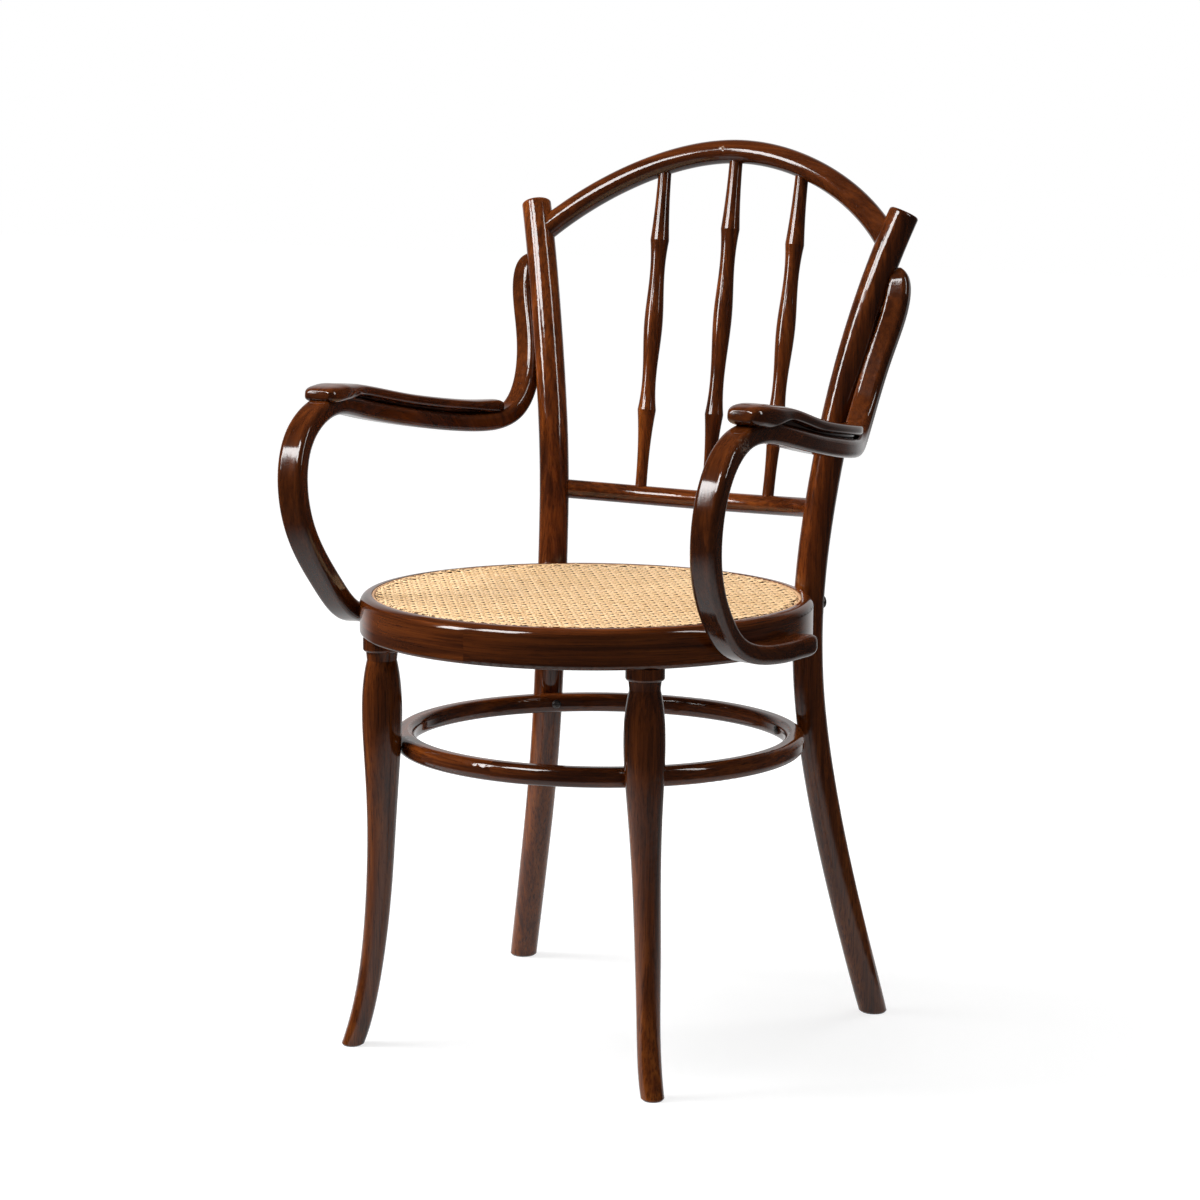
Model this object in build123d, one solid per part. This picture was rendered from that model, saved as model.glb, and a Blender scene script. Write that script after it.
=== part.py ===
from build123d import *
import math
import os

# Spindle back armchair of steam-bent and turned beech with a cane seat.
# Millimetres, +Z up, the sitter faces -Y, the floor is Z = 0.
# Right-hand pieces (+X, the sitter's left) are modelled and mirrored in X.
# Every piece is modelled about the plane X = 0, then the whole chair is moved
# along Y so that its origin is the middle of its footprint box.

# Joint fits
FIT = 0.15
COPE_GAP = 0.1

# Seat ring and its cane panel
SEAT_RADIUS = 231.0
SEAT_RING_WIDTH = 44.0
SEAT_RING_HEIGHT = 40.0
SEAT_TOP = 462.0
SEAT_CENTRE_Y = -11.0
SEAT_BULLNOSE = 9.0
SEAT_LOWER_ROUND = 4.0
RIM_WIDTH = 12.0
RIM_STEP = 3.0
GROOVE_WIDTH = 5.0
GROOVE_DEPTH = 8.0
CANE_THICKNESS = 1.4
CANE_LIP = 6.0
CANE_OPENINGS_ACROSS = 12
CANE_OPEN_SHARE = 0.56
CANE_OPEN_MARGIN = 4.0
SPLINE_CROWN = 1.2

# Rear posts: centreline of the right-hand post, floor to top
POST_FOOT = (220.0, 224.0, 0.0)
POST_SHIN = (194.0, 204.5, 120.0)
POST_KNEE = (170.5, 187.0, 250.0)
POST_UNDER_SEAT = (159.0, 177.5, 360.0)
POST_AT_SEAT = (157.5, 180.0, 460.0)
POST_LOWER_BACK = (164.0, 192.5, 560.0)
POST_MIDDLE_BACK = (181.5, 210.0, 680.0)
POST_UPPER_BACK = (209.5, 236.0, 800.0)
POST_TOP = (224.0, 249.5, 847.0)
POST_DIAMETER = 32.0
POST_FOOT_DIAMETER = 29.5
POST_TOP_ROUND = 3.0
POST_SECTION_COUNT = 17
FOOT_CHAMFER = 2.0

# Front legs: centreline and diameters of the right-hand leg, floor to seat
LEG_FOOT = (177.5, -175.5)
LEG_ANKLE = (167.0, -166.0)
LEG_CALF = (161.5, -159.0)
LEG_TOP = (153.0, -156.5)
LEG_ANKLE_HEIGHT = 50.0
LEG_CALF_HEIGHT = 105.0
LEG_SHIN_HEIGHT = 190.0
LEG_THIGH_HEIGHT = 275.0
LEG_SWELL_HEIGHT = 348.0
LEG_SHOULDER_HEIGHT = 380.0
LEG_NECK_HEIGHT = 400.0
LEG_COLLAR_HEIGHT = 13.0
LEG_FOOT_DIAMETER = 23.0
LEG_ANKLE_DIAMETER = 23.5
LEG_CALF_DIAMETER = 24.5
LEG_SHIN_DIAMETER = 27.5
LEG_THIGH_DIAMETER = 34.0
LEG_SWELL_DIAMETER = 41.0
LEG_SHOULDER_DIAMETER = 37.5
LEG_NECK_DIAMETER = 30.5
LEG_COLLAR_DIAMETER = 38.5
LEG_COLLAR_ROUND = 3.0
LEG_TENON_DIAMETER = 24.0
LEG_TENON_LENGTH = 23.0

# Stretcher ring between the legs
STRETCHER_RADIUS = 201.5
STRETCHER_THICKNESS = 20.0
STRETCHER_ROUND = 7.0
STRETCHER_HEIGHT = 308.0
STRETCHER_CENTRE_Y = 17.5

# Crest rail: the arch between the two post tops, bowed to the rear
CREST_DIAMETER = 25.5
CREST_MIDDLE_Y = 298.0
CREST_MIDDLE_HEIGHT = 905.0
CREST_QUARTER_X = 84.0
CREST_QUARTER_Y = 290.5
CREST_QUARTER_HEIGHT = 891.0
CREST_END_HEIGHT = 812.0

# Lower back rail, bowed to the rear as well
RAIL_DIAMETER = 20.5
RAIL_MIDDLE_Y = 240.0
RAIL_MIDDLE_HEIGHT = 532.0
RAIL_QUARTER_X = 78.0
RAIL_QUARTER_Y = 232.0
RAIL_QUARTER_HEIGHT = 533.5
RAIL_END_HEIGHT = 539.5
RAIL_END_SETBACK = 4.0
RAIL_TENON_DIAMETER = 12.0
RAIL_TENON_LENGTH = 9.0

# Turned spindles: diameters, with heights from the nearer end
SPINDLE_FOOT_DIAMETER = 13.0
SPINDLE_LOWER_BEAD_DIAMETER = 20.2
SPINDLE_LOWER_WAIST_DIAMETER = 15.2
SPINDLE_SWELL_DIAMETER = 20.4
SPINDLE_UPPER_WAIST_DIAMETER = 16.2
SPINDLE_UPPER_BEAD_DIAMETER = 20.5
SPINDLE_HEAD_DIAMETER = 14.5
SPINDLE_FOOT_TAPER = 44.0
SPINDLE_FOOT_FLARE = 68.0
SPINDLE_LOWER_BEAD_HEIGHT = 93.0
SPINDLE_LOWER_WAIST_HEIGHT = 126.0
SPINDLE_SWELL_BELOW_TOP = 175.0
SPINDLE_UPPER_WAIST_BELOW_TOP = 124.0
SPINDLE_UPPER_BEAD_BELOW_TOP = 84.0
SPINDLE_HEAD_TAPER = 48.0
SPINDLE_FOOT_FLARE_DIAMETER = 15.4
SPINDLE_HEAD_TAPER_DIAMETER = 16.0
SPINDLE_TENON_DIAMETER = 9.0
SPINDLE_TENON_LENGTH = 8.0

# Arms: the strip runs from the rear post forward, down and back to the seat ring
ARM_TIP_HEIGHT = 790.0
ARM_TOP_HEIGHT = 758.0
ARM_LEAVE_HEIGHT = 700.0
ARM_POST_ANGLE = 10.0
ARM_REST_YAW = 20.0
ARM_MIDDLE_YAW = 5.0
ARM_LOOP_YAW = -5.0
ARM_REAR_WIDTH = 25.5
ARM_REST_WIDTH = 27.0
ARM_LOOP_WIDTH = 29.0
ARM_THICKNESS = 19.5
ARM_CORNER = 6.0
ARM_TIP_THICKNESS = 5.0
ARM_REAR_BEND = (210.0, 174.5, 621.5)
ARM_REST_REAR = (231.0, 110.5, 614.5)
ARM_REST_MIDDLE = (243.5, 24.5, 626.0)
ARM_REST_FRONT = (248.5, -63.0, 642.0)
ARM_FRONT_BEND = (243.0, -132.0, 647.0)
ARM_LOOP_TOP = (241.5, -172.5, 622.0)
ARM_LOOP_FRONT = (234.0, -186.0, 535.5)
ARM_LOOP_LOWER = (227.0, -149.0, 473.0)
ARM_LOOP_BOTTOM = (228.0, -113.0, 441.0)
ARM_SEAT_HOUSING = 1.0
ARM_SEAT_HEIGHT = 432.5
ARM_SEAT_START_ANGLE = -18.0
ARM_SEAT_END_ANGLE = 4.0
ARM_END_ROUND = 9.0
ARM_SECTION_COUNT = 44

# Arm pads: their undersides keep PAD_GAP above the arm, but for both ends
PAD_THICKNESS = 10.5
PAD_LOBE_THICKNESS = 18.5
PAD_GAP = 2.6
PAD_SEAT_DEPTH = 0.6
PAD_CORNER = 4.0
PAD_FRONT_WIDTH = 38.0
PAD_LOBE_WIDTH = 42.0
PAD_NECK_WIDTH = 29.0
PAD_REAR_WIDTH = 22.0
PAD_FRONT_END = (243.0, -141.0, 652.0)
PAD_REAR_END = (213.5, 159.0, 612.0)
PAD_LOBE_Y = -126.0
PAD_SHOULDER_Y = -112.0
PAD_NECK_Y = -90.0
PAD_MIDDLE_Y = 110.0
PAD_END_ROUND = 9.0
PAD_SECTION_COUNT = 30

# Fasteners
BOLT_DIAMETER = 6.0
BOLT_HEAD_DIAMETER = 13.5
BOLT_HEAD_HEIGHT = 3.6
BOLT_TAIL = 2.6
BOLT_SPOT_FACE = 1.4
WASHER_DIAMETER = 15.0
WASHER_THICKNESS = 1.4
NUT_ACROSS_FLATS = 10.0
NUT_HEIGHT = 5.0
SCREW_DIAMETER = 4.5
SCREW_HEAD_DIAMETER = 9.5
SCREW_HEAD_HEIGHT = 2.8
STRETCHER_SCREW_LENGTH = 36.0
SEAT_SCREW_LENGTH = 60.0
SEAT_SCREW_ANGLES = (-9.5, -1.5)
PAD_SCREW_DIAMETER = 4.0
PAD_SCREW_HEAD_DIAMETER = 8.0
PAD_SCREW_BITE = 6.0
PAD_SCREW_FRONT_Y = -116.0
PAD_SCREW_REAR_Y = 138.0
PAD_SCREW_SINK = 4.0
SLOT_WIDTH = 1.1
SLOT_DEPTH = 1.2
DOWEL_DIAMETER = 8.0
DOWEL_HALF_LENGTH = 11.0
DOWEL_HEIGHTS = (712.0, 748.0)

# Shares and steps used by the shapes
DOME_SHARE = 0.8
CORNER_SHARE = 0.45
NOSE_ANGLES = (35.0, 60.0, 82.0)
SEARCH_STEPS = 40

# Worked-out places
SEAT_BOTTOM = SEAT_TOP - SEAT_RING_HEIGHT
SEAT_BORE = SEAT_RADIUS - SEAT_RING_WIDTH
SEAT_LAND = SEAT_TOP - RIM_STEP
GROOVE_OUTER = SEAT_RADIUS - RIM_WIDTH
GROOVE_INNER = GROOVE_OUTER - GROOVE_WIDTH
GROOVE_FLOOR = SEAT_LAND - GROOVE_DEPTH
SEAT_CENTRE = Vector(0, SEAT_CENTRE_Y, 0)
STRETCHER_CENTRE = Vector(0, STRETCHER_CENTRE_Y, STRETCHER_HEIGHT)
POST_PATH = Spline(
    POST_FOOT,
    POST_SHIN,
    POST_KNEE,
    POST_UNDER_SEAT,
    POST_AT_SEAT,
    POST_LOWER_BACK,
    POST_MIDDLE_BACK,
    POST_UPPER_BACK,
    POST_TOP,
)


def heading(degrees):
    """Level direction at an angle from +X towards +Y."""
    angle = math.radians(degrees)
    return Vector(math.cos(angle), math.sin(angle), 0)


def rod(start, end, radius):
    """Round bar between two points."""
    run = Vector(end) - Vector(start)
    bar = Cylinder(radius, run.length, align=(Align.CENTER, Align.CENTER, Align.MIN))
    return Plane(origin=start, z_dir=run) * bar


def both_sides(shape):
    """The right-hand shape and its mirror image."""
    return [shape, mirror(shape, about=Plane.YZ)]


def blend(value, knots):
    """Straight-line reading between (place, size) pairs in rising order."""
    for (start, low), (end, high) in zip(knots, knots[1:]):
        if value <= end:
            share = max(0.0, (value - start) / (end - start))
            return low + (high - low) * share
    return knots[-1][1]


def place_on(path, wanted, axis):
    """Parameter where a path first reaches a wanted height or depth."""
    low, high = 0.0, 1.0
    rising = getattr(path @ high, axis) > getattr(path @ low, axis)
    for _ in range(SEARCH_STEPS):
        middle = (low + high) / 2
        below = getattr(path @ middle, axis) < wanted
        if below == rising:
            low = middle
        else:
            high = middle
    return (low + high) / 2


def post_point(height):
    """Centre of the right-hand post at a height."""
    return POST_PATH @ place_on(POST_PATH, height, "Z")


def round_bar(path, radius):
    """Bar of even round section along a path."""
    return sweep(Plane(origin=path @ 0, z_dir=path % 0) * Circle(radius), path=path)


def post_body(extra):
    """Right-hand post, thicker all round by extra."""
    knots = ((0.0, POST_FOOT_DIAMETER), (POST_KNEE[2], POST_DIAMETER), (POST_TOP[2], POST_DIAMETER))
    sections = [Pos(*POST_FOOT) * Circle(POST_FOOT_DIAMETER / 2 + extra)]
    for index in range(1, POST_SECTION_COUNT):
        at = index / (POST_SECTION_COUNT - 1)
        centre = POST_PATH @ at
        radius = blend(centre.Z, knots) / 2 + extra
        plane = Plane(origin=centre, x_dir=(1, 0, 0), z_dir=POST_PATH % at)
        sections.append(plane * Circle(radius))
    return loft(sections)


def ring_outline(thickness, corner):
    """Section of the stretcher ring, drawn at its place right of the Z axis."""
    return Pos(STRETCHER_RADIUS, 0) * RectangleRounded(thickness, thickness, corner)


def stretcher_body(extra):
    """Stretcher ring, thicker all round by extra."""
    outline = ring_outline(STRETCHER_THICKNESS + 2 * extra, STRETCHER_ROUND + extra)
    return Pos(STRETCHER_CENTRE) * revolve(Plane.XZ * outline, axis=Axis.Z)


def seat_block(extra):
    """Plain disc that fills the seat ring's outside, larger by extra."""
    height = SEAT_RING_HEIGHT + 2 * extra
    disc = Cylinder(SEAT_RADIUS + extra, height, align=(Align.CENTER, Align.CENTER, Align.MIN))
    return Pos(0, SEAT_CENTRE_Y, SEAT_BOTTOM - extra) * disc


def rounded_at(face, place, radius):
    """Round the corner of a face that lies nearest to a place."""
    return fillet(face.vertices().sort_by_distance((*place, 0))[0], radius)


def seat_ring_body():
    """Bent seat ring with a raised rim and the groove for the cane."""
    outline = Polyline(
        (SEAT_BORE, SEAT_BOTTOM),
        (SEAT_RADIUS, SEAT_BOTTOM),
        (SEAT_RADIUS, SEAT_TOP),
        (GROOVE_OUTER, SEAT_TOP),
        (GROOVE_OUTER, GROOVE_FLOOR),
        (GROOVE_INNER, GROOVE_FLOOR),
        (GROOVE_INNER, SEAT_LAND),
        (SEAT_BORE, SEAT_LAND),
        close=True,
    )
    face = make_face(outline)
    face = rounded_at(face, (SEAT_RADIUS, SEAT_TOP), SEAT_BULLNOSE)
    face = rounded_at(face, (SEAT_RADIUS, SEAT_BOTTOM), SEAT_LOWER_ROUND)
    face = rounded_at(face, (SEAT_BORE, SEAT_BOTTOM), SEAT_LOWER_ROUND)
    return Pos(SEAT_CENTRE) * revolve(Plane.XZ * face, axis=Axis.Z)


def cane_openings():
    """Squares of the plain grid that stands for the open weave, inside the ring's bore."""
    pitch = 2 * SEAT_BORE / CANE_OPENINGS_ACROSS
    side = pitch * CANE_OPEN_SHARE
    middle = (CANE_OPENINGS_ACROSS - 1) / 2
    squares = []
    for column in range(CANE_OPENINGS_ACROSS):
        for row in range(CANE_OPENINGS_ACROSS):
            x = (column - middle) * pitch
            y = (row - middle) * pitch
            corner = math.hypot(abs(x) + side / 2, abs(y) + side / 2)
            if corner < SEAT_BORE - CANE_OPEN_MARGIN:
                squares.append(Pos(x, y) * Rectangle(side, side))
    return squares


def cane_panel():
    """Cane sheet on the ring's land."""
    sheet = Circle(GROOVE_INNER + FIT + CANE_THICKNESS) - cane_openings()
    return Pos(SEAT_CENTRE) * Pos(0, 0, SEAT_LAND + COPE_GAP) * extrude(sheet, CANE_THICKNESS)


def cane_edge():
    """Edge of the cane, turned down into the groove."""
    outline = Circle(GROOVE_INNER + FIT + CANE_THICKNESS) - Circle(GROOVE_INNER + FIT)
    turned = extrude(outline, CANE_THICKNESS - CANE_LIP)
    return Pos(SEAT_CENTRE) * Pos(0, 0, SEAT_LAND) * turned


def cane_spline():
    """Reed bead that wedges the cane in its groove."""
    inner = GROOVE_INNER + 2 * FIT + CANE_THICKNESS
    outer = GROOVE_OUTER - FIT
    bottom = GROOVE_FLOOR + FIT
    shoulder = SEAT_LAND + COPE_GAP + CANE_THICKNESS
    crown = ((inner + outer) / 2, shoulder + SPLINE_CROWN)
    sides = Polyline((outer, shoulder), (outer, bottom), (inner, bottom), (inner, shoulder))
    top = ThreePointArc((inner, shoulder), crown, (outer, shoulder))
    return Pos(SEAT_CENTRE) * revolve(Plane.XZ * make_face(sides + top), axis=Axis.Z)


def front_leg_body():
    """Turned right-hand front leg with its collar and tenon."""
    lean = Spline(
        (*LEG_FOOT, 0),
        (*LEG_ANKLE, LEG_ANKLE_HEIGHT),
        (*LEG_CALF, LEG_CALF_HEIGHT),
        (*LEG_TOP, LEG_SWELL_HEIGHT),
        (*LEG_TOP, LEG_NECK_HEIGHT),
    )
    turning = (
        (0.0, LEG_FOOT_DIAMETER),
        (LEG_ANKLE_HEIGHT, LEG_ANKLE_DIAMETER),
        (LEG_CALF_HEIGHT, LEG_CALF_DIAMETER),
        (LEG_SHIN_HEIGHT, LEG_SHIN_DIAMETER),
        (LEG_THIGH_HEIGHT, LEG_THIGH_DIAMETER),
        (LEG_SWELL_HEIGHT, LEG_SWELL_DIAMETER),
        (LEG_SHOULDER_HEIGHT, LEG_SHOULDER_DIAMETER),
        (LEG_NECK_HEIGHT, LEG_NECK_DIAMETER),
    )
    sections = []
    for height, diameter in turning:
        centre = lean @ place_on(lean, height, "Z")
        sections.append(Pos(centre.X, centre.Y, height) * Circle(diameter / 2))
    shaft = loft(sections)
    collar_bottom = SEAT_BOTTOM - COPE_GAP - LEG_COLLAR_HEIGHT
    cove = loft([
        Pos(*LEG_TOP, LEG_NECK_HEIGHT) * Circle(LEG_NECK_DIAMETER / 2),
        Pos(*LEG_TOP, collar_bottom) * Circle(LEG_COLLAR_DIAMETER / 2 - LEG_COLLAR_ROUND),
    ])
    collar_top = collar_bottom + LEG_COLLAR_HEIGHT
    collar = rod((*LEG_TOP, collar_bottom), (*LEG_TOP, collar_top), LEG_COLLAR_DIAMETER / 2)
    collar = fillet(collar.edges().sort_by(Axis.Z)[0], LEG_COLLAR_ROUND)
    tenon_foot = (*LEG_TOP, collar_bottom)
    tenon_top = (*LEG_TOP, SEAT_BOTTOM + LEG_TENON_LENGTH)
    return shaft + cove + collar + rod(tenon_foot, tenon_top, LEG_TENON_DIAMETER / 2)


def leg_mortise():
    """Socket in the seat ring for the right-hand leg's tenon."""
    top = SEAT_BOTTOM + LEG_TENON_LENGTH + 2 * FIT
    return rod((*LEG_TOP, SEAT_BOTTOM - FIT), (*LEG_TOP, top), LEG_TENON_DIAMETER / 2 + FIT)


def crest_path():
    """Centreline of the crest rail from the left post to the right post."""
    end = post_point(CREST_END_HEIGHT)
    quarter = (CREST_QUARTER_X, CREST_QUARTER_Y, CREST_QUARTER_HEIGHT)
    return Spline(
        (-end.X, end.Y, end.Z),
        (-quarter[0], quarter[1], quarter[2]),
        (0, CREST_MIDDLE_Y, CREST_MIDDLE_HEIGHT),
        quarter,
        tuple(end),
    )


def rail_path():
    """Centreline of the lower back rail from the left post to the right post."""
    end = post_point(RAIL_END_HEIGHT) + Vector(0, RAIL_END_SETBACK, 0)
    quarter = (RAIL_QUARTER_X, RAIL_QUARTER_Y, RAIL_QUARTER_HEIGHT)
    return Spline(
        (-end.X, end.Y, end.Z),
        (-quarter[0], quarter[1], quarter[2]),
        (0, RAIL_MIDDLE_Y, RAIL_MIDDLE_HEIGHT),
        quarter,
        tuple(end),
    )


def end_tenon(path, extra):
    """Round tenon at the right-hand end of a back rail, larger by extra."""
    inward = (path % 1) * -1
    end = path @ 1
    reach = POST_DIAMETER / 2 - RAIL_TENON_LENGTH
    start = end + inward * (POST_DIAMETER / 2 + RAIL_TENON_LENGTH)
    return rod(start, end + inward * (reach - extra), RAIL_TENON_DIAMETER / 2 + extra)


def back_rail(path, diameter, posts):
    """Bent round rail, coped to both posts and tenoned into them."""
    rail = round_bar(path, diameter / 2)
    for post in both_sides(posts):
        rail -= post
    for tenon in both_sides(end_tenon(path, 0)):
        rail += tenon
    return rail


def spindle_ends(side):
    """Where a spindle's axis meets the rail's and the crest's centrelines."""
    rail = rail_path()
    crest = crest_path()
    foot = rail @ place_on(rail, side * RAIL_QUARTER_X, "X")
    head = crest @ place_on(crest, side * CREST_QUARTER_X, "X")
    return foot, head


def turned_profile(length):
    """Half outline of a spindle from its foot to its head."""
    swell = (SPINDLE_SWELL_DIAMETER / 2, length - SPINDLE_SWELL_BELOW_TOP)
    lower_bead = (SPINDLE_LOWER_BEAD_DIAMETER / 2, SPINDLE_LOWER_BEAD_HEIGHT)
    upper_bead = (SPINDLE_UPPER_BEAD_DIAMETER / 2, length - SPINDLE_UPPER_BEAD_BELOW_TOP)
    foot = Spline(
        (SPINDLE_FOOT_DIAMETER / 2, 0),
        (SPINDLE_FOOT_DIAMETER / 2, SPINDLE_FOOT_TAPER),
        (SPINDLE_FOOT_FLARE_DIAMETER / 2, SPINDLE_FOOT_FLARE),
        lower_bead,
    )
    middle = Spline(
        lower_bead,
        (SPINDLE_LOWER_WAIST_DIAMETER / 2, SPINDLE_LOWER_WAIST_HEIGHT),
        swell,
        (SPINDLE_UPPER_WAIST_DIAMETER / 2, length - SPINDLE_UPPER_WAIST_BELOW_TOP),
        upper_bead,
    )
    head = Spline(
        upper_bead,
        (SPINDLE_HEAD_TAPER_DIAMETER / 2, length - SPINDLE_HEAD_TAPER),
        (SPINDLE_HEAD_DIAMETER / 2, length),
    )
    head_rim = (SPINDLE_HEAD_DIAMETER / 2, length)
    foot_rim = (SPINDLE_FOOT_DIAMETER / 2, 0)
    axis = Polyline(head_rim, (0, length), (0, 0), foot_rim)
    return make_face(foot + middle + head + axis)


def spindle_tenons(side, extra):
    """Tenons at a spindle's two ends, larger by extra."""
    foot, head = spindle_ends(side)
    along = (head - foot).normalized()
    root = SPINDLE_TENON_LENGTH
    low_end = foot + along * (RAIL_DIAMETER / 2 - root - extra)
    high_end = head - along * (CREST_DIAMETER / 2 - root - extra)
    radius = SPINDLE_TENON_DIAMETER / 2 + extra
    low = rod(foot + along * (RAIL_DIAMETER / 2 + root), low_end, radius)
    high = rod(head - along * (CREST_DIAMETER / 2 + root), high_end, radius)
    return low + high


def spindle(side, rail_room, crest_room):
    """Turned spindle at the left (-1), middle (0) or right (1)."""
    foot, head = spindle_ends(side)
    turned = revolve(Plane.XZ * turned_profile((head - foot).length), axis=Axis.Z)
    body = Plane(origin=foot, z_dir=head - foot) * turned
    return body - rail_room - crest_room + spindle_tenons(side, 0)


def arm_stations():
    """Centres of the right-hand arm from its tip to its end on the seat ring."""
    out = heading(ARM_POST_ANGLE)
    against_post = POST_DIAMETER / 2 + ARM_REAR_WIDTH / 2
    tip = post_point(ARM_TIP_HEIGHT) + out * (POST_DIAMETER / 2 + ARM_TIP_THICKNESS / 2)
    top = post_point(ARM_TOP_HEIGHT) + out * against_post
    leave = post_point(ARM_LEAVE_HEIGHT) + out * against_post
    reach = SEAT_RADIUS + ARM_LOOP_WIDTH / 2 - ARM_SEAT_HOUSING
    seat = SEAT_CENTRE + Vector(0, 0, ARM_SEAT_HEIGHT)
    meet = seat + heading(ARM_SEAT_START_ANGLE) * reach
    end = seat + heading(ARM_SEAT_END_ANGLE) * reach
    bends = (
        ARM_REAR_BEND,
        ARM_REST_REAR,
        ARM_REST_MIDDLE,
        ARM_REST_FRONT,
        ARM_FRONT_BEND,
        ARM_LOOP_TOP,
        ARM_LOOP_FRONT,
        ARM_LOOP_LOWER,
        ARM_LOOP_BOTTOM,
    )
    return [tip, top, leave] + [Vector(*bend) for bend in bends] + [meet, end]


ARM_PATH = Spline(*arm_stations())


def arm_place(number):
    """Parameter along the arm of one of its stations."""
    return ARM_PATH.param_at_point(arm_stations()[number])


def arm_plane(at):
    """Section plane of the arm, with its x axis level and across the arm."""
    yaw = blend(at, (
        (0.0, ARM_POST_ANGLE),
        (arm_place(2), ARM_POST_ANGLE),
        (arm_place(4), ARM_REST_YAW),
        (arm_place(5), ARM_MIDDLE_YAW),
        (arm_place(7), ARM_LOOP_YAW),
        (arm_place(11), ARM_LOOP_YAW),
        (arm_place(12), ARM_SEAT_START_ANGLE),
        (1.0, ARM_SEAT_END_ANGLE),
    ))
    return Plane(origin=ARM_PATH @ at, x_dir=heading(yaw), z_dir=ARM_PATH % at)


def tip_share(at):
    """How full the arm is near its tip, 0 at the tip, as a quarter of an oval."""
    share = min(1.0, at / arm_place(1))
    return math.sqrt(1 - (1 - share) ** 2)


def arm_width(at):
    """Width of the arm across its bend."""
    full = blend(at, (
        (0.0, ARM_REAR_WIDTH),
        (arm_place(3), ARM_REAR_WIDTH),
        (arm_place(5), ARM_REST_WIDTH),
        (arm_place(8), ARM_LOOP_WIDTH),
        (1.0, ARM_LOOP_WIDTH),
    ))
    return ARM_TIP_THICKNESS + (full - ARM_TIP_THICKNESS) * tip_share(at)


def arm_thickness(at):
    """Thickness of the arm in the plane of its bend."""
    return ARM_TIP_THICKNESS + (ARM_THICKNESS - ARM_TIP_THICKNESS) * tip_share(at)


def strip_section(plane, width, thickness, corner):
    """Rounded section of a bent strip."""
    most = CORNER_SHARE * min(width, thickness)
    return plane * RectangleRounded(width, thickness, min(corner, most))


def nose_steps(round_length):
    """Distances from a rounded end, with the inset of its outline at each."""
    steps = []
    for degrees in NOSE_ANGLES:
        angle = math.radians(degrees)
        steps.append((round_length * (1 - math.sin(angle)), round_length * (1 - math.cos(angle))))
    return steps


def arm_body(extra):
    """Right-hand arm with a tapered tip and a rounded end, thicker by extra."""
    length = ARM_PATH.length
    straight = 1 - ARM_END_ROUND / length
    places = [(straight * index / (ARM_SECTION_COUNT - 1), 0.0) for index in range(ARM_SECTION_COUNT)]
    places += [(1 - gap / length, inset) for gap, inset in nose_steps(ARM_END_ROUND)]
    flatter = ARM_THICKNESS / ARM_LOOP_WIDTH
    sections = []
    for at, inset in places:
        width = arm_width(at) + 2 * extra - 2 * inset
        thickness = arm_thickness(at) + 2 * extra - 2 * inset * flatter
        sections.append(strip_section(arm_plane(at), width, thickness, ARM_CORNER + extra))
    return loft(sections)


def pad_line():
    """Line under the pad: the arm's centreline, with ends of its own."""
    return Spline(PAD_REAR_END, ARM_REST_REAR, ARM_REST_MIDDLE, ARM_REST_FRONT, PAD_FRONT_END)


def rest_line():
    """Centreline of the arm's rest, where the pad's screws stand."""
    return Spline(ARM_REAR_BEND, ARM_REST_REAR, ARM_REST_MIDDLE, ARM_REST_FRONT, ARM_FRONT_BEND)


def pad_body():
    """Right-hand arm pad with a wide front lobe, before it is scribed to the arm."""
    line = pad_line()
    widths = (
        (PAD_FRONT_END[1], PAD_FRONT_WIDTH),
        (PAD_LOBE_Y, PAD_LOBE_WIDTH),
        (PAD_SHOULDER_Y, PAD_LOBE_WIDTH),
        (PAD_NECK_Y, PAD_NECK_WIDTH),
        (PAD_MIDDLE_Y, PAD_NECK_WIDTH),
        (PAD_REAR_END[1], PAD_REAR_WIDTH),
    )
    depths = (
        (PAD_FRONT_END[1], PAD_LOBE_THICKNESS),
        (PAD_SHOULDER_Y, PAD_LOBE_THICKNESS),
        (PAD_NECK_Y, PAD_THICKNESS),
        (PAD_MIDDLE_Y, PAD_THICKNESS),
        (PAD_REAR_END[1], PAD_THICKNESS + PAD_GAP + PAD_SEAT_DEPTH),
    )
    top = ARM_THICKNESS / 2 + PAD_GAP + PAD_THICKNESS
    rounding = PAD_END_ROUND / line.length
    steps = [(gap / line.length, inset) for gap, inset in nose_steps(PAD_END_ROUND)]
    places = list(reversed(steps))
    for index in range(PAD_SECTION_COUNT):
        places.append((rounding + (1 - 2 * rounding) * index / (PAD_SECTION_COUNT - 1), 0.0))
    places += [(1 - gap, inset) for gap, inset in steps]
    sections = []
    for at, inset in places:
        centre = line @ at
        along = line % at
        across = Vector(-along.Y, along.X, 0)
        width = blend(centre.Y, widths) - 2 * inset
        depth = blend(centre.Y, depths)
        flatter = depth / PAD_LOBE_WIDTH
        plane = Plane(origin=centre, x_dir=across, z_dir=along)
        seat = plane * Pos(0, top - depth / 2)
        sections.append(strip_section(seat, width, depth - 2 * inset * flatter, PAD_CORNER))
    return loft(sections)


def screw(head_seat, along, length, diameter, head_diameter, head_height):
    """Slotted screw whose head rests at head_seat and whose shank runs along."""
    head = Cylinder(head_diameter / 2, head_height, align=(Align.CENTER, Align.CENTER, Align.MAX))
    head = fillet(head.edges().sort_by(Axis.Z)[0], head_height * DOME_SHARE)
    shank = Cylinder(diameter / 2, length, align=(Align.CENTER, Align.CENTER, Align.MIN))
    slot = Pos(0, 0, -head_height) * Box(2 * head_diameter, SLOT_WIDTH, 2 * SLOT_DEPTH)
    return Plane(origin=head_seat, z_dir=along) * (head + shank - slot)


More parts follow.
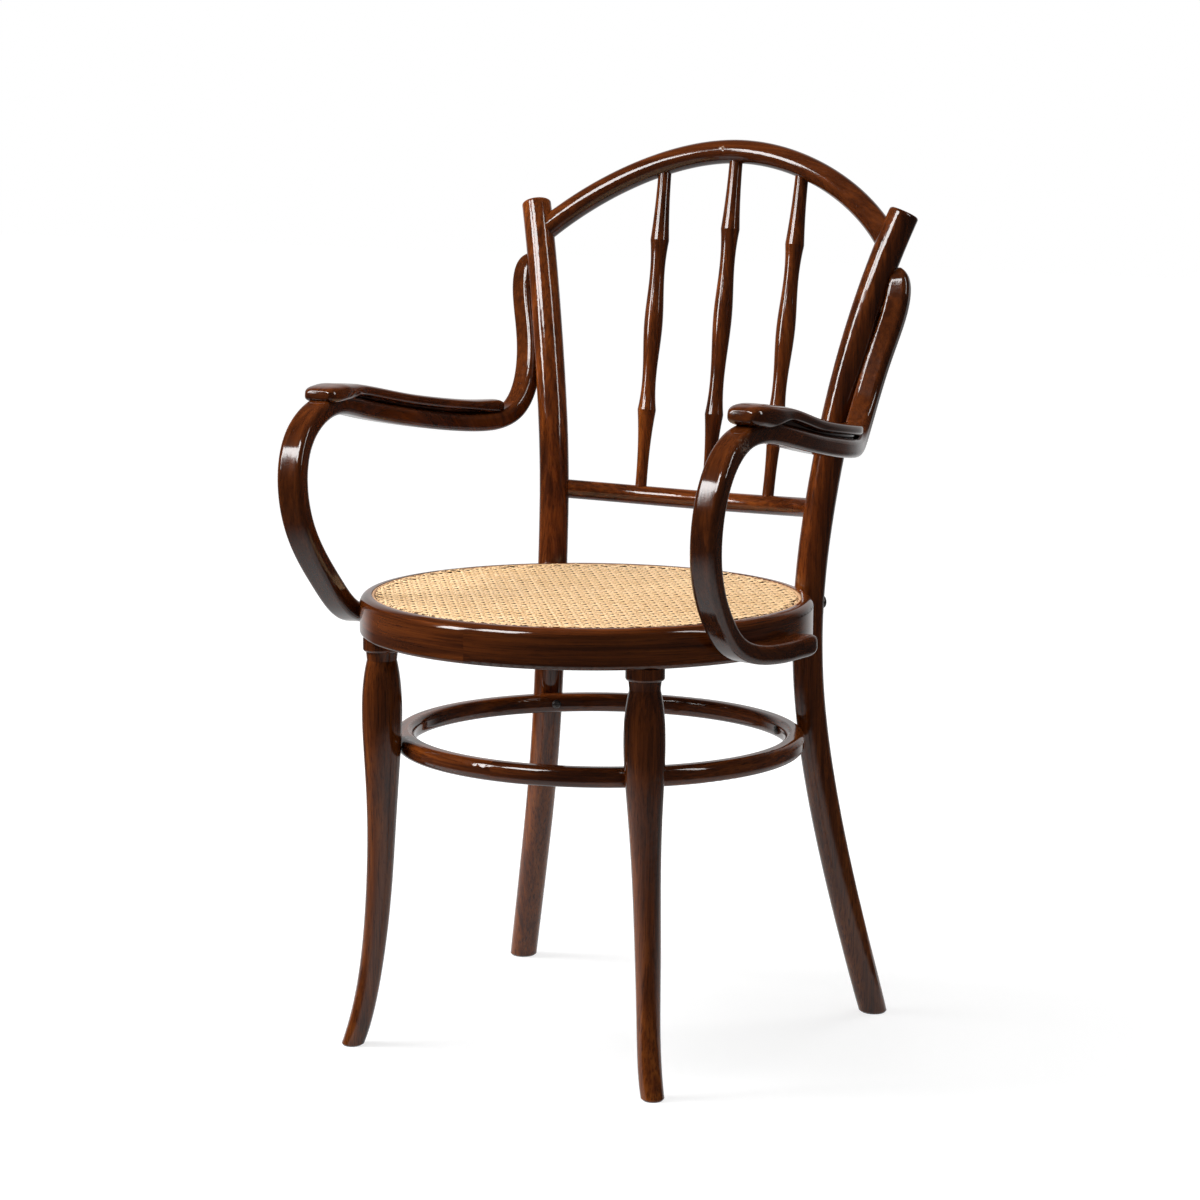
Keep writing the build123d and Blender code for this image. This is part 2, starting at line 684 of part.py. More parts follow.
def stretcher_screw_lines():
    """Head seats and directions of the right-hand screws, at the leg and the post."""
    targets = (Vector(*LEG_TOP, STRETCHER_HEIGHT), post_point(STRETCHER_HEIGHT))
    lines = []
    for target in targets:
        along = (target - STRETCHER_CENTRE).normalized()
        face = STRETCHER_RADIUS - STRETCHER_THICKNESS / 2 - 2 * COPE_GAP
        lines.append((STRETCHER_CENTRE + along * face, along))
    return lines


def seat_screw_lines():
    """Head seats and directions of the right-hand screws from the ring into the arm."""
    lines = []
    for angle in SEAT_SCREW_ANGLES:
        along = heading(angle)
        seat = SEAT_CENTRE + along * (SEAT_BORE - 2 * COPE_GAP)
        lines.append((seat + Vector(0, 0, ARM_SEAT_HEIGHT), along))
    return lines


def pad_screw_lines():
    """Head seats of the right-hand screws under the arm, which run straight up."""
    line = rest_line()
    lines = []
    for y in (PAD_SCREW_FRONT_Y, PAD_SCREW_REAR_Y):
        centre = line @ place_on(line, y, "Y")
        lines.append((centre - Vector(0, 0, ARM_THICKNESS / 2 - PAD_SCREW_SINK), Vector(0, 0, 1)))
    return lines


def bolt_line():
    """Point on the right-hand post's axis and outward direction of the seat bolt."""
    height = (SEAT_TOP + SEAT_BOTTOM) / 2
    on_post = post_point(height)
    level = SEAT_CENTRE + Vector(0, 0, height)
    return on_post, (on_post - level).normalized(), level


def seat_bolt_set():
    """Right-hand seat bolt, its washer, its nut, its hole and its spot face."""
    on_post, out, level = bolt_line()
    head_seat = on_post + out * (POST_DIAMETER / 2 - BOLT_SPOT_FACE)
    washer_seat = level + out * (SEAT_BORE - 2 * COPE_GAP)
    nut_seat = washer_seat - out * (WASHER_THICKNESS + COPE_GAP)
    tail = nut_seat - out * (NUT_HEIGHT + BOLT_TAIL)
    base = Plane(origin=head_seat + out * COPE_GAP, z_dir=out)
    upward = (Align.CENTER, Align.CENTER, Align.MIN)
    head = Cylinder(BOLT_HEAD_DIAMETER / 2, BOLT_HEAD_HEIGHT, align=upward)
    head = fillet(head.edges().sort_by(Axis.Z)[-1], BOLT_HEAD_HEIGHT * DOME_SHARE)
    bolt = base * head + rod(tail, head_seat + out * BOLT_HEAD_HEIGHT / 2, BOLT_DIAMETER / 2)
    hole_radius = BOLT_DIAMETER / 2 + FIT
    hole = rod(tail, head_seat + out * BOLT_HEAD_HEIGHT, hole_radius)
    washer = rod(washer_seat, washer_seat - out * WASHER_THICKNESS, WASHER_DIAMETER / 2) - hole
    hexagon = extrude(RegularPolygon(NUT_ACROSS_FLATS / 2, 6, major_radius=False), NUT_HEIGHT)
    nut = Plane(origin=nut_seat, z_dir=out * -1) * hexagon - hole
    spot_face = rod(head_seat, head_seat + out * BOLT_HEAD_DIAMETER, BOLT_HEAD_DIAMETER / 2 + FIT)
    return bolt, washer, nut, hole, spot_face


def dowels(extra):
    """Right-hand dowels between the post and the arm, larger by extra."""
    out = heading(ARM_POST_ANGLE)
    pins = []
    for height in DOWEL_HEIGHTS:
        joint = post_point(height) + out * (POST_DIAMETER / 2)
        reach = out * (DOWEL_HALF_LENGTH + extra)
        pins.append(rod(joint - reach, joint + reach, DOWEL_DIAMETER / 2 + extra))
    return pins


def build_chair():
    """Every piece of the chair, by name, about the plane X = 0."""
    fat_post = post_body(COPE_GAP)
    fat_stretcher = stretcher_body(COPE_GAP)
    seat_room = seat_block(COPE_GAP)
    bolt, washer, nut, bolt_hole, spot_face = seat_bolt_set()
    pins = dowels(0)
    pin_holes = dowels(FIT)
    stretcher_lines = stretcher_screw_lines()
    seat_lines = seat_screw_lines()
    pad_lines = pad_screw_lines()
    hole = SCREW_DIAMETER / 2 + FIT
    stretcher_holes = []
    for seat, along in stretcher_lines:
        stretcher_holes.append(rod(seat, seat + along * (STRETCHER_SCREW_LENGTH + FIT), hole))
    seat_holes = []
    for seat, along in seat_lines:
        seat_holes.append(rod(seat, seat + along * (SEAT_SCREW_LENGTH + FIT), hole))
    pad_length = ARM_THICKNESS - PAD_SCREW_SINK + PAD_GAP + PAD_SCREW_BITE
    pad_holes = []
    pad_sinks = []
    for seat, along in pad_lines:
        pad_holes.append(rod(seat, seat + along * (pad_length + FIT), PAD_SCREW_DIAMETER / 2 + FIT))
        low = seat - along * ARM_THICKNESS
        pad_sinks.append(rod(low, seat + along * FIT, PAD_SCREW_HEAD_DIAMETER / 2 + FIT))

    crest_line = crest_path()
    rail_line = rail_path()
    crest = back_rail(crest_line, CREST_DIAMETER, fat_post)
    rail = back_rail(rail_line, RAIL_DIAMETER, fat_post)
    rail_room = round_bar(rail_line, RAIL_DIAMETER / 2 + COPE_GAP)
    crest_room = round_bar(crest_line, CREST_DIAMETER / 2 + COPE_GAP)
    spindles = {}
    for name, side in (("spindle_right", -1), ("spindle_centre", 0), ("spindle_left", 1)):
        spindles[name] = [spindle(side, rail_room, crest_room)]
        sockets = spindle_tenons(side, FIT)
        crest -= sockets
        rail -= sockets

    post = post_body(0)
    post = fillet(post.faces().sort_by(Axis.Z)[-1].edges(), POST_TOP_ROUND)
    post = chamfer(post.faces().sort_by(Axis.Z)[0].edges(), FOOT_CHAMFER)
    post = post - seat_room - fat_stretcher - bolt_hole - spot_face - stretcher_holes[1]
    post = post - end_tenon(crest_line, FIT) - end_tenon(rail_line, FIT)
    for pin_hole in pin_holes:
        post -= pin_hole

    leg = front_leg_body()
    leg = chamfer(leg.faces().sort_by(Axis.Z)[0].edges(), FOOT_CHAMFER)
    leg = leg - fat_stretcher - stretcher_holes[0]

    arm = arm_body(0) - fat_post - seat_room
    for cut in pin_holes + seat_holes + pad_holes + pad_sinks:
        arm -= cut

    pad = pad_body() - arm_body(COPE_GAP)
    for cut in pad_holes:
        pad -= cut

    ring = seat_ring_body()
    for cut in [leg_mortise(), bolt_hole] + seat_holes:
        for side_cut in both_sides(cut):
            ring -= side_cut

    stretcher = stretcher_body(0)
    for cut in stretcher_holes:
        for side_cut in both_sides(cut):
            stretcher -= side_cut

    screw_sizes = (SCREW_DIAMETER, SCREW_HEAD_DIAMETER, SCREW_HEAD_HEIGHT)
    pad_screw_sizes = (PAD_SCREW_DIAMETER, PAD_SCREW_HEAD_DIAMETER, PAD_SCREW_SINK - FIT)
    stretcher_screws = [screw(*line, STRETCHER_SCREW_LENGTH, *screw_sizes) for line in stretcher_lines]
    seat_screws = [screw(*line, SEAT_SCREW_LENGTH, *screw_sizes) for line in seat_lines]
    pad_screws = [screw(*line, pad_length, *pad_screw_sizes) for line in pad_lines]

    chair = {
        "seat_ring": [ring],
        "cane_panel": [cane_panel()],
        "cane_edge": [cane_edge()],
        "cane_spline": [cane_spline()],
        "stretcher_ring": [stretcher],
        "crest_rail": [crest],
        "lower_back_rail": [rail],
        **spindles,
    }
    for name, piece in (("front_leg", leg), ("rear_post", post), ("arm", arm), ("arm_pad", pad)):
        sitters_left, sitters_right = both_sides(piece)
        chair[name + "_left"] = [sitters_left]
        chair[name + "_right"] = [sitters_right]
    groups = {
        "stretcher_screws": stretcher_screws,
        "arm_seat_screws": seat_screws,
        "arm_pad_screws": pad_screws,
        "arm_post_dowels": pins,
        "seat_bolts": [bolt],
        "seat_bolt_washers": [washer],
        "seat_bolt_nuts": [nut],
    }
    for name, pieces in groups.items():
        chair[name] = [side_piece for piece in pieces for side_piece in both_sides(piece)]
    return chair


def main():
    """Build every piece, centre the chair on its footprint and write the files."""
    chair = build_chair()
    boxes = [piece.bounding_box() for pieces in chair.values() for piece in pieces]
    front = min(box.min.Y for box in boxes)
    back = max(box.max.Y for box in boxes)
    centring = Pos(0, -(front + back) / 2, 0)
    os.makedirs("parts", exist_ok=True)
    for name, pieces in chair.items():
        solids = [centring * solid for piece in pieces for solid in piece.solids()]
        export_step(Compound(solids), os.path.join("parts", name + ".step"))
    print("moved along Y by", -(front + back) / 2)


if __name__ == "__main__":
    main()
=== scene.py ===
"""Spindle back armchair: dark lacquered bentwood with a woven cane seat, on a white floor."""
import math
import random
import bmesh
import bpy
from mathutils import Matrix, Vector


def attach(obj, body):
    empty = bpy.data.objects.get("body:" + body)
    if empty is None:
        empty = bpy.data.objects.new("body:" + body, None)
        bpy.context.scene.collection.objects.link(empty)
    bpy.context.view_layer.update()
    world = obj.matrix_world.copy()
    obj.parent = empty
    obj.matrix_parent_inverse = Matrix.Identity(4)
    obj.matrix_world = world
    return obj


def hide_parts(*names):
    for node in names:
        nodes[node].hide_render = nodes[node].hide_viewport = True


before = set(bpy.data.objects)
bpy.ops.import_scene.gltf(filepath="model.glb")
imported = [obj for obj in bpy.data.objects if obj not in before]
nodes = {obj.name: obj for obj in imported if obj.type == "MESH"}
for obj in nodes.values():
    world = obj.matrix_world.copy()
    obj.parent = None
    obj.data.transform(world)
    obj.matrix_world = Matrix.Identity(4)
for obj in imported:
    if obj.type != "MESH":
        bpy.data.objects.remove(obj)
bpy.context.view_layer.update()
scene = bpy.context.scene

# Seat and the centres of the bends, in metres and in the row frame
SEAT_CENTRE = Vector((0.0, -0.045375, 0.0))
CANE_MIDDLE_Z = 0.4602
CANE_RADIUS = 0.2146
ARM_LOOP_CENTRE = Vector((0.0, -0.06, 0.53))
CREST_ARCH_CENTRE = Vector((0.0, 0.22, 0.589))

# Stain from its darkest to its lightest streaks, and the raw wood under chipped lacquer
STAIN = (
    (0.0200, 0.0042, 0.0010),
    (0.0640, 0.0142, 0.0026),
    (0.1350, 0.0315, 0.0052),
    (0.2400, 0.0640, 0.0100),
)
STAIN_MIDDLE = 0.47
STAIN_STEPS = (-0.13, -0.01, 0.09, 0.22)
LINE_DEPTH = 0.60
# Painted light: how much lighter the stain grows towards the feet, in place of light bounced up
# from the floor
FEET_BOUNCE_LIGHT = (0.05, 0.42, 0.11, 0.0)
CALM = 0.6
CHIPPED = (0.26, 0.15, 0.09)
ARM_CHIPS = ((0.2562, -0.1880, 0.6400), 0.003, 0.011)
CREST_CHIPS = ((-0.0119, 0.2514, 0.9088), 0.001, 0.004)

# Bare dowels and steel: tones from dark to light, and scales of their patterns
BARE_TONES = ((0.3, (0.42, 0.25, 0.13)), (0.7, (0.62, 0.42, 0.25)))
BARE_SCALE = (400, 400, 20)
STEEL_TONES = (
    (0.35, (0.030, 0.026, 0.024)),
    (0.62, (0.13, 0.12, 0.115)),
    (0.8, (0.3, 0.28, 0.26)),
)
GRIME_SCALE = 420

# Cane: its dark spots, and its patterns
CANE_SPOT = (0.36, 0.17, 0.055)
SPOT_DEPTH = 0.35
PATCH_SCALE = (9, 9, 9)
MOTTLE_SCALE = (160, 160, 160)
FIBRE_SCALE = (1500, 1500, 1500)
PATCH_SHARE = 0.45
MOTTLE_SHARE = 0.55

# The wood's patterns: scales across the grain, twice, and along it, and how strongly each shows
BROAD_SCALE = (16, 16, 2.2)
STREAK_SCALE = (170, 170, 5.0)
FINE_SCALE = (700, 700, 22)
FLECK_SCALE = (1100, 1100, 130)
SCUFF_SCALE = (55, 55, 55)
WAVE_SCALE = (38, 38, 9)
CRUMB_SCALE = (330, 330, 330)
BROAD_SHARE = 0.48
STREAK_SHARE = 0.52
FLECK_DEPTH = 0.40
SCUFF_DEPTH = 0.25
WAVE_HEIGHT = 0.8
FINE_HEIGHT = 0.10
CHIP_HEIGHT = 1.6
BEND_RADIUS = 0.22

# Lacquer
RELIEF_DISTANCE = 0.0006
RELIEF_STRENGTH = 0.35
COAT_ROUGHNESS = 0.09
COAT_IOR = 1.5


# Materials

class Tree:
    """Small helper that adds and links the nodes of one material or world."""

    def __init__(self, owner):
        owner.use_nodes = True
        self.owner = owner
        self.nodes = owner.node_tree.nodes
        self.links = owner.node_tree.links
        self.nodes.clear()

    def shader(self, kind, output="ShaderNodeOutputMaterial"):
        node = self.nodes.new(kind)
        self.links.new(node.outputs[0], self.nodes.new(output).inputs["Surface"])
        return node

    def put(self, value, socket):
        if isinstance(value, bpy.types.NodeSocket):
            self.links.new(value, socket)
        else:
            socket.default_value = value

    def math(self, operation, first, second=0.0):
        node = self.nodes.new("ShaderNodeMath")
        node.operation = operation
        self.put(first, node.inputs[0])
        self.put(second, node.inputs[1])
        return node.outputs[0]

    def vector_math(self, operation, first, second=(0.0, 0.0, 0.0)):
        node = self.nodes.new("ShaderNodeVectorMath")
        node.operation = operation
        self.put(first, node.inputs[0])
        self.put(second, node.inputs[1])
        return node

    def position(self):
        return self.nodes.new("ShaderNodeTexCoord").outputs["Object"]

    def near(self, centre, inner, outer):
        """One close to a point, fading to nothing at the outer distance."""
        gap = self.vector_math("DISTANCE", self.position(), centre).outputs["Value"]
        return self.span(gap, inner, outer, 1.0, 0.0)

    def split(self, vector):
        node = self.nodes.new("ShaderNodeSeparateXYZ")
        self.put(vector, node.inputs[0])
        return node.outputs[0], node.outputs[1], node.outputs[2]

    def join(self, x, y, z):
        node = self.nodes.new("ShaderNodeCombineXYZ")
        self.put(x, node.inputs[0])
        self.put(y, node.inputs[1])
        self.put(z, node.inputs[2])
        return node.outputs[0]

    def stretch(self, vector, scales, shift=(0.0, 0.0, 0.0)):
        node = self.nodes.new("ShaderNodeMapping")
        self.put(vector, node.inputs["Vector"])
        node.inputs["Scale"].default_value = scales
        node.inputs["Location"].default_value = shift
        return node.outputs[0]

    def noise(self, vector, scale=1.0, detail=3.0, roughness=0.55, distortion=0.0):
        node = self.nodes.new("ShaderNodeTexNoise")
        self.put(vector, node.inputs["Vector"])
        node.inputs["Scale"].default_value = scale
        node.inputs["Detail"].default_value = detail
        node.inputs["Roughness"].default_value = roughness
        node.inputs["Distortion"].default_value = distortion
        return node.outputs["Fac"]

    def ramp(self, value, stops):
        node = self.nodes.new("ShaderNodeValToRGB")
        self.put(value, node.inputs[0])
        node.color_ramp.elements[0].position = stops[0][0]
        node.color_ramp.elements[0].color = (*stops[0][1], 1.0)
        node.color_ramp.elements[1].position = stops[-1][0]
        node.color_ramp.elements[1].color = (*stops[-1][1], 1.0)
        for place, colour in stops[1:-1]:
            node.color_ramp.elements.new(place).color = (*colour, 1.0)
        return node.outputs["Color"]

    def span(self, value, low, high, to_low=0.0, to_high=1.0):
        node = self.nodes.new("ShaderNodeMapRange")
        node.interpolation_type = "SMOOTHSTEP"
        self.put(value, node.inputs["Value"])
        node.inputs["From Min"].default_value = low
        node.inputs["From Max"].default_value = high
        node.inputs["To Min"].default_value = to_low
        node.inputs["To Max"].default_value = to_high
        return node.outputs[0]

    def mix(self, share, first, second):
        node = self.nodes.new("ShaderNodeMix")
        node.data_type = "RGBA"
        self.put(share, node.inputs[0])
        self.put(first if not isinstance(first, tuple) else (*first, 1.0), node.inputs[6])
        self.put(second if not isinstance(second, tuple) else (*second, 1.0), node.inputs[7])
        return node.outputs[2]

    def bump(self, height, distance, strength=1.0):
        node = self.nodes.new("ShaderNodeBump")
        self.put(height, node.inputs["Height"])
        node.inputs["Distance"].default_value = distance
        node.inputs["Strength"].default_value = strength
        return node.outputs[0]


def along_up(tree):
    """Grain that runs up a post, leg or spindle: two directions across it, then along it."""
    return tree.position()


def along_side(tree):
    """Grain that runs from side to side."""
    x, y, z = tree.split(tree.position())
    return tree.join(y, z, x)


def along_depth(tree):
    """Grain that runs from front to back."""
    x, y, z = tree.split(tree.position())
    return tree.join(x, z, y)


def around(tree, centre, first, second, third):
    """Grain that runs round a centre in the plane of two axes."""
    parts = tree.split(tree.position())
    a = tree.math("SUBTRACT", parts[first], centre[first])
    b = tree.math("SUBTRACT", parts[second], centre[second])
    squares = tree.math("ADD", tree.math("MULTIPLY", a, a), tree.math("MULTIPLY", b, b))
    radius = tree.math("SQRT", squares)
    angle = tree.math("ARCTAN2", a, b)
    length = tree.math("MULTIPLY", angle, BEND_RADIUS)
    return tree.join(radius, parts[third], length)


def around_seat(tree):
    return around(tree, SEAT_CENTRE, 0, 1, 2)


def around_arm(tree):
    return around(tree, ARM_LOOP_CENTRE, 1, 2, 0)


def around_crest(tree):
    return around(tree, CREST_ARCH_CENTRE, 0, 2, 1)


def stained_wood(name, grain, shift, warmth=1.0, chips=None, figure=1.0, painted_foot_light=False):
    """Dark lacquered beech: streaks along the grain, ray flecks, wear, and a wavy clear coat.

    Warmth lightens the stain, figure sets how strongly the grain shows, and painted foot light
    makes the stain lighter towards the floor, as painted bounce light from the floor.
    """
    tree = Tree(bpy.data.materials.new(name))
    shader = tree.shader("ShaderNodeBsdfPrincipled")
    place = grain(tree)
    broad = tree.noise(tree.stretch(place, BROAD_SCALE, shift), detail=3, distortion=0.5)
    streaks = tree.noise(tree.stretch(place, STREAK_SCALE, shift), detail=5, roughness=0.62)
    fine = tree.noise(tree.stretch(place, FINE_SCALE, shift), detail=3, roughness=0.6)
    fleck = tree.noise(tree.stretch(place, FLECK_SCALE, shift), detail=2, roughness=0.5)
    broad_part = tree.math("MULTIPLY", broad, BROAD_SHARE)
    tone = tree.math("ADD", broad_part, tree.math("MULTIPLY", streaks, STREAK_SHARE))
    # Painted bounce light from the floor: the stain gets lighter towards the feet
    if painted_foot_light:
        height_up = tree.split(tree.position())[2]
        tone = tree.math("ADD", tone, tree.span(height_up, *FEET_BOUNCE_LIGHT))
    dark, brown, red, amber = [tuple(part * warmth for part in colour) for colour in STAIN]
    places = [STAIN_MIDDLE + step / figure for step in STAIN_STEPS]
    stain = tree.ramp(tone, tuple(zip(places, (dark, brown, red, amber))))
    lines = tree.span(fine, 0.48, 0.68)
    grained = tree.mix(tree.math("MULTIPLY", lines, LINE_DEPTH * figure), stain, dark)
    marks = tree.span(fleck, 0.62, 0.70)
    flecked = tree.mix(tree.math("MULTIPLY", marks, FLECK_DEPTH), grained, dark)
    spot = tree.position()
    scuff = tree.noise(tree.stretch(spot, SCUFF_SCALE, shift), detail=6, roughness=0.7)
    worn = tree.math("MULTIPLY", tree.span(scuff, 0.66, 0.74), SCUFF_DEPTH)
    colour = tree.mix(worn, flecked, amber)
    waves = tree.noise(tree.stretch(place, WAVE_SCALE, shift), detail=2)
    wave_part = tree.math("MULTIPLY", waves, WAVE_HEIGHT)
    height = tree.math("ADD", wave_part, tree.math("MULTIPLY", fine, FINE_HEIGHT))
    if chips:
        crumbs = tree.noise(tree.stretch(spot, CRUMB_SCALE, shift), detail=4, roughness=0.6)
        flaked = tree.math("MULTIPLY", tree.near(*chips), tree.span(crumbs, 0.50, 0.56))
        colour = tree.mix(flaked, colour, CHIPPED)
        height = tree.math("SUBTRACT", height, tree.math("MULTIPLY", flaked, CHIP_HEIGHT))
    tree.put(colour, shader.inputs["Base Color"])
    tree.put(tree.span(scuff, 0.35, 0.75, 0.30, 0.46), shader.inputs["Roughness"])
    relief = tree.bump(height, RELIEF_DISTANCE, RELIEF_STRENGTH)
    tree.put(relief, shader.inputs["Normal"])
    tree.put(relief, shader.inputs["Coat Normal"])
    shader.inputs["Specular IOR Level"].default_value = 0.0
    shader.inputs["Coat Weight"].default_value = 1.0
    shader.inputs["Coat Roughness"].default_value = COAT_ROUGHNESS
    shader.inputs["Coat IOR"].default_value = COAT_IOR
    return tree.owner


def bare_wood(name):
    """Plain beech of the dowels."""
    tree = Tree(bpy.data.materials.new(name))
    shader = tree.shader("ShaderNodeBsdfPrincipled")
    place = along_side(tree)
    streaks = tree.noise(tree.stretch(place, BARE_SCALE), detail=4)
    tree.put(tree.ramp(streaks, BARE_TONES), shader.inputs["Base Color"])
    tree.put(tree.span(streaks, 0.2, 0.8, 0.45, 0.62), shader.inputs["Roughness"])
    tree.put(tree.bump(streaks, 0.0003, 0.4), shader.inputs["Normal"])
    return tree.owner


def steel(name):
    """Darkened steel with a worn, slightly oily face."""
    tree = Tree(bpy.data.materials.new(name))
    shader = tree.shader("ShaderNodeBsdfPrincipled")
    grime = tree.noise(tree.position(), scale=GRIME_SCALE, detail=5, roughness=0.65)
    tree.put(tree.ramp(grime, STEEL_TONES), shader.inputs["Base Color"])
    tree.put(tree.span(grime, 0.3, 0.75, 0.28, 0.55), shader.inputs["Roughness"])
    tree.put(tree.bump(grime, 0.0002, 0.5), shader.inputs["Normal"])
    shader.inputs["Metallic"].default_value = 1.0
    return tree.owner


def cane(name, light, deep, shift):
    """Split cane: satin skin, fine fibres, uneven straw colour."""
    tree = Tree(bpy.data.materials.new(name))
    shader = tree.shader("ShaderNodeBsdfPrincipled")
    spot = tree.position()
    patch = tree.noise(tree.stretch(spot, PATCH_SCALE, shift), detail=3)
    mottle = tree.noise(tree.stretch(spot, MOTTLE_SCALE, shift), detail=4, roughness=0.65)
    fibre = tree.noise(tree.stretch(spot, FIBRE_SCALE, shift), detail=2)
    patch_part = tree.math("MULTIPLY", patch, PATCH_SHARE)
    tone = tree.math("ADD", patch_part, tree.math("MULTIPLY", mottle, MOTTLE_SHARE))
    straw = tree.ramp(tone, ((0.32, deep), (0.62, light)))
    spots = tree.math("MULTIPLY", tree.span(mottle, 0.66, 0.76), SPOT_DEPTH)
    colour = tree.mix(spots, straw, CANE_SPOT)
    tree.put(colour, shader.inputs["Base Color"])
    tree.put(tree.span(mottle, 0.3, 0.7, 0.36, 0.58), shader.inputs["Roughness"])
    tree.put(tree.bump(fibre, 0.0003, 0.5), shader.inputs["Normal"])
    shader.inputs["Specular IOR Level"].default_value = 0.25
    return tree.owner


def give(node_names, material):
    for name in node_names:
        slots = nodes[name].data.materials
        slots.clear()
        slots.append(material)


# Node, material, grain, shift of its patterns, and what differs from the plain stain
WOODS = (
    ("rear_post_left", "wood_post_left", along_up, (1.3, 0.4, 2.0),
     {"warmth": 1.1, "painted_foot_light": True}),
    ("rear_post_right", "wood_post_right", along_up, (5.1, 3.3, 0.7),
     {"warmth": 1.3, "painted_foot_light": True}),
    ("front_leg_left", "wood_leg_left", along_up, (2.2, 8.1, 4.1),
     {"warmth": 1.25, "painted_foot_light": True}),
    ("front_leg_right", "wood_leg_right", along_up, (7.4, 1.2, 6.6), {"painted_foot_light": True}),
    ("spindle_left", "wood_spindle_left", along_up, (3.0, 0.0, 1.0), {"warmth": 1.05}),
    ("spindle_centre", "wood_spindle_centre", along_up, (4.0, 2.0, 3.0), {"warmth": 1.05}),
    ("spindle_right", "wood_spindle_right", along_up, (6.0, 5.0, 9.0), {"warmth": 1.05}),
    ("lower_back_rail", "wood_rail", along_side, (0.5, 1.5, 2.5), {"warmth": 1.05}),
    ("crest_rail", "wood_crest", around_crest, (2.5, 4.5, 0.5),
     {"warmth": 0.9, "chips": CREST_CHIPS, "figure": CALM}),
    ("seat_ring", "wood_seat_ring", around_seat, (1.0, 2.0, 3.0), {}),
    ("stretcher_ring", "wood_stretcher", around_seat, (9.0, 7.0, 5.0), {"warmth": 1.3}),
    ("arm_left", "wood_arm_left", around_arm, (0.3, 0.6, 0.9),
     {"warmth": 0.85, "chips": ARM_CHIPS, "figure": CALM}),
    ("arm_right", "wood_arm_right", around_arm, (3.3, 6.6, 9.9), {"warmth": 0.85, "figure": CALM}),
)
for wood_node, wood_name, wood_grain, wood_shift, wood_look in WOODS:
    give((wood_node,), stained_wood(wood_name, wood_grain, wood_shift, **wood_look))
give(("arm_post_dowels",), bare_wood("wood_dowels"))
screws = ("stretcher_screws", "arm_seat_screws", "arm_pad_screws")
bolts = ("seat_bolts", "seat_bolt_washers", "seat_bolt_nuts")
give(screws + bolts, steel("steel_dark"))
give(("cane_spline",), cane("reed", (0.60, 0.36, 0.20), (0.42, 0.23, 0.11), (1.0, 5.0, 2.0)))


# Arm pads: rounded boards on the arms, on a narrow spine that leaves a shadow gap on both sides

PAD_LINE = (
    Vector((0.2135, 0.1246, 0.6120)),
    Vector((0.2310, 0.0761, 0.6145)),
    Vector((0.2435, -0.0099, 0.6260)),
    Vector((0.2485, -0.0974, 0.6420)),
    Vector((0.2430, -0.1754, 0.6520)),
)
PAD_FOOT = 0.0095

# Pairs of a place along Y and a size there; the heights and depths are given for each side
PAD_WIDTHS = (
    (-0.1754, 0.0390),
    (-0.1580, 0.0420),
    (-0.1500, 0.0420),
    (-0.0950, 0.0290),
    (0.0756, 0.0290),
    (0.1246, 0.0220),
)
PAD_HEIGHTS = {
    1: ((-0.1754, 0.0255), (-0.1520, 0.0288), (-0.1150, 0.0282), (-0.0300, 0.0243)),
    -1: ((-0.1754, 0.0178), (-0.1420, 0.0228), (-0.1050, 0.0243)),
}
PAD_REAR_DEPTHS = ((0.0756, 0.0112), (0.1246, 0.0145))
PAD_DEPTHS = {
    1: ((-0.1754, 0.0190), (-0.1480, 0.0235), (-0.0950, 0.0130)) + PAD_REAR_DEPTHS,
    -1: ((-0.1754, 0.0165), (-0.1520, 0.0185), (-0.0950, 0.0118)) + PAD_REAR_DEPTHS,
}
SPINE_WIDTHS = ((-0.1754, 0.0100), (0.1246, 0.0100))

# Ends and section of the pads
SPINE_INSET = 0.033
SPINE_SUNK = 0.004
PAD_NOSE = 0.013
NOSE_NARROWING = 0.42
NOSE_THINNING = 0.60
PAD_STATIONS = 96
PAD_POINTS = 32
PAD_SQUARENESS = 3.4


def ease(value, table):
    """Smooth steps between the pairs of a table."""
    if value <= table[0][0]:
        return table[0][1]
    for (low, start), (high, end) in zip(table, table[1:]):
        if value <= high:
            share = (value - low) / (high - low)
            return start + (end - start) * share * share * (3 - 2 * share)
    return table[-1][1]


def pad_place(share):
    """Point of the pad's line and its direction, at a share of the way from rear to front."""
    last = len(PAD_LINE) - 1
    index = min(int(share * last), last - 1)
    t = share * last - index
    p1 = PAD_LINE[index]
    p2 = PAD_LINE[index + 1]
    p0 = PAD_LINE[index - 1] if index > 0 else p1 * 2 - p2
    p3 = PAD_LINE[index + 2] if index + 2 <= last else p2 * 2 - p1
    bend = p0 * 2 - p1 * 5 + p2 * 4 - p3
    twist = p1 * 3 - p0 - p2 * 3 + p3
    point = p1 + (p2 - p0) * (t / 2) + bend * (t * t / 2) + twist * (t ** 3 / 2)
    way = (p2 - p0) / 2 + bend * t + twist * (1.5 * t * t)
    return point, way.normalized()


def squared(part):
    """Pushes a circle's coordinate out towards a rounded square."""
    return math.copysign(abs(part) ** (2 / PAD_SQUARENESS), part)


